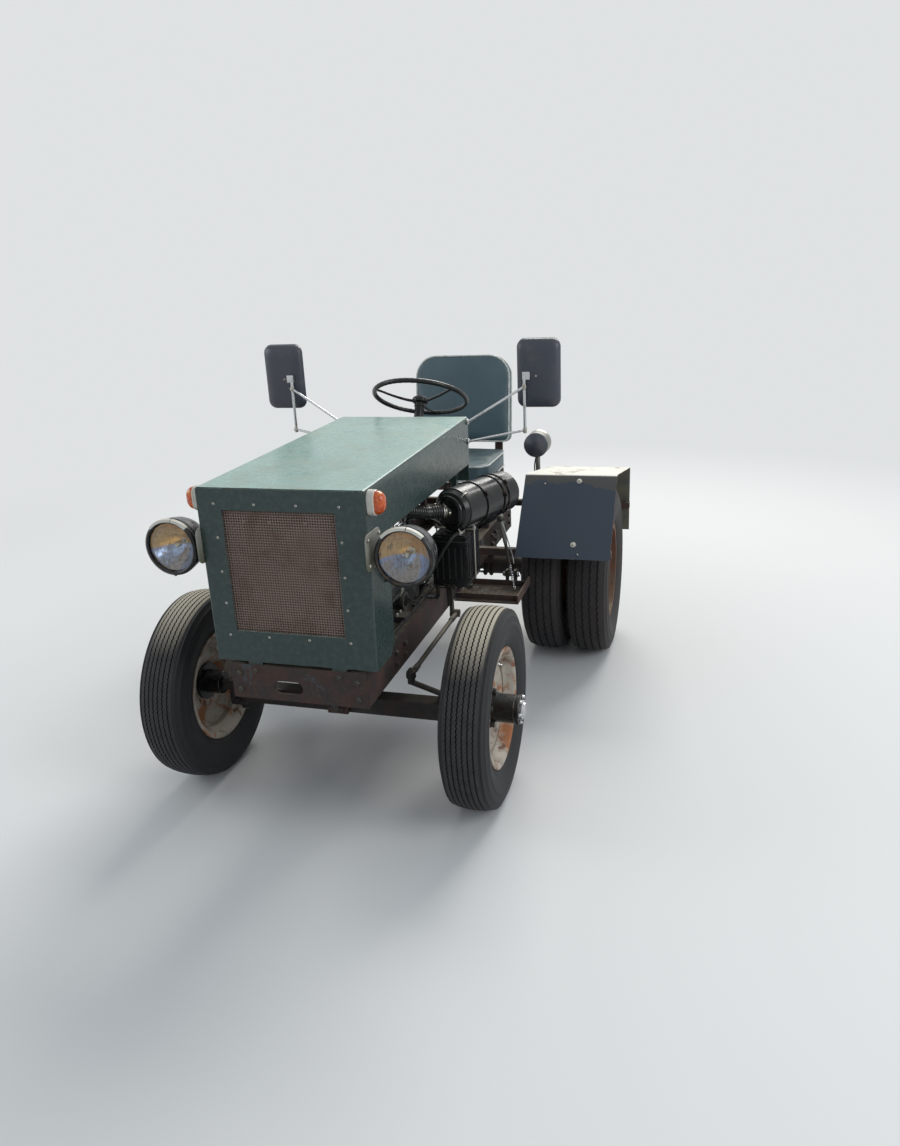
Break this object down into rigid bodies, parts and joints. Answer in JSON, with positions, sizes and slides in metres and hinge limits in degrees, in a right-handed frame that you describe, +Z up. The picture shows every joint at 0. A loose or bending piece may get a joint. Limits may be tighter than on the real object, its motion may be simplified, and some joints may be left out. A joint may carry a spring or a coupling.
{
  "type": "farm tractor",
  "caption": "Small home-built farm tractor with a channel frame, folded sheet nose over an open engine, twin rear wheels and a drawbar",
  "frame": {"origin": "on the ground under the middle of the tractor's box", "axes": "+Z up, +Y towards the rear of the tractor, +X towards its left side"},
  "size_m": [1.74, 2.272, 1.49],
  "materials": {
    "frame_steel": "rust-brown paint, dusty and worn",
    "axle_steel": "oily brown forging",
    "link_steel": "dull worn steel",
    "green_sheet": "satin dark grey-green paint",
    "mesh_steel": "brown rusted mesh",
    "front_tyre": "black ribbed tyre",
    "rear_tyre": "brown muddy tyre",
    "front_rim": "off-white paint with orange rust",
    "rear_rim": "rusted brown paint",
    "engine_iron": "oily grey cast iron",
    "alloy": "dusty cast alloy",
    "exhaust_steel": "burnt rusty pipe",
    "black_gloss": "glossy black enamel",
    "black_plastic": "satin black plastic",
    "lamp_glass": "fluted clear glass",
    "amber": "amber lens on a white base",
    "green_vinyl": "dark green vinyl with pale piping",
    "guard_paint": "dark blue-grey paint",
    "bright_rod": "plated thin rod"
  },
  "bodies": {
    "chassis": {"frame": "frame_steel", "front_axle_beam": "axle_steel", "rear_axle": "axle_steel", "drawbar": "axle_steel", "gearbox": "alloy", "engine_block": "engine_iron", "cylinder_head": "alloy", "exhaust": "exhaust_steel", "generator": "black_gloss", "radiator": "black_gloss", "air_cleaner": "black_gloss", "front_panel": "green_sheet", "grille_mesh": "mesh_steel", "hood": "green_sheet", "dash_panel": "green_sheet", "headlamp_shells": "black_gloss", "headlamp_lenses": "lamp_glass", "indicators": "amber", "steering_column": "black_gloss", "seat_back": "green_vinyl", "seat_cushion": "green_vinyl", "seat_frame": "frame_steel", "mudguard_left": "guard_paint", "mudguard_right": "guard_paint", "floor_plates": "frame_steel", "pedals": "link_steel", "gear_lever": "black_plastic", "mirror_arms": "bright_rod", "mirror_heads": "black_plastic", "work_lamp": "alloy"},
    "knuckle_left": {"knuckle_left": "axle_steel"},
    "knuckle_right": {"knuckle_right": "axle_steel"},
    "tie_rod": {"tie_rod": "link_steel"},
    "drag_link": {"drag_link": "link_steel"},
    "drop_arm": {"drop_arm": "link_steel"},
    "steering_wheel": {"steering_wheel": "black_plastic"},
    "front_wheel_left": {"front_wheel_left": "front_rim", "front_tyre_left": "front_tyre"},
    "front_wheel_right": {"front_wheel_right": "front_rim", "front_tyre_right": "front_tyre"},
    "rear_wheels_left": {"rear_wheels_left": "rear_rim", "rear_tyres_left": "rear_tyre"},
    "rear_wheels_right": {"rear_wheels_right": "rear_rim", "rear_tyres_right": "rear_tyre"},
    "fan": {"fan": "link_steel"}
  },
  "joints": [
    {"name": "steer_left", "type": "hinge", "parent": "chassis", "child": "knuckle_left", "pos_m": [0.388, -0.791, 0.319], "axis": [0, 0, 1], "range_deg": [-25, 25]},
    {"name": "steer_right", "type": "hinge", "parent": "chassis", "child": "knuckle_right", "pos_m": [-0.388, -0.791, 0.319], "axis": [0, 0, 1], "range_deg": [-25, 25]},
    {"name": "tie_rod_pivot", "type": "hinge", "parent": "knuckle_left", "child": "tie_rod", "pos_m": [0.388, -0.671, 0.25], "axis": [0, 0, 1], "range_deg": [-25, 25]},
    {"name": "drag_link_pivot", "type": "hinge", "parent": "knuckle_left", "child": "drag_link", "pos_m": [0.268, -0.791, 0.44], "axis": [0, 0, 1], "range_deg": [-25, 25]},
    {"name": "drop_arm_swing", "type": "hinge", "parent": "chassis", "child": "drop_arm", "pos_m": [0.243, -0.204, 0.56], "axis": [1, 0, 0], "range_deg": [-25, 25]},
    {"name": "steering_wheel_turn", "type": "hinge", "parent": "chassis", "child": "steering_wheel", "pos_m": [0, 0.296, 1.24], "axis": [0, 0.4695, 0.8829], "range_deg": [-375, 375]},
    {"name": "spin_front_left", "type": "hinge", "parent": "knuckle_left", "child": "front_wheel_left", "pos_m": [0.531, -0.791, 0.345], "axis": [1, 0, 0], "continuous": true},
    {"name": "spin_front_right", "type": "hinge", "parent": "knuckle_right", "child": "front_wheel_right", "pos_m": [-0.531, -0.791, 0.345], "axis": [1, 0, 0], "continuous": true},
    {"name": "spin_rear_left", "type": "hinge", "parent": "chassis", "child": "rear_wheels_left", "pos_m": [0.63, 0.596, 0.385], "axis": [1, 0, 0], "continuous": true},
    {"name": "spin_rear_right", "type": "hinge", "parent": "chassis", "child": "rear_wheels_right", "pos_m": [-0.63, 0.596, 0.385], "axis": [1, 0, 0], "continuous": true},
    {"name": "fan_spin", "type": "hinge", "parent": "chassis", "child": "fan", "pos_m": [0, -0.904, 0.77], "axis": [0, 1, 0], "continuous": true}
  ],
  "couplings": [
    {"joint": "steer_right", "follows": "steer_left", "ratio": 1},
    {"joint": "tie_rod_pivot", "follows": "steer_left", "ratio": -1},
    {"joint": "drag_link_pivot", "follows": "steer_left", "ratio": -1},
    {"joint": "drop_arm_swing", "follows": "steer_left", "ratio": -1},
    {"joint": "steering_wheel_turn", "follows": "steer_left", "ratio": 15}
  ]
}
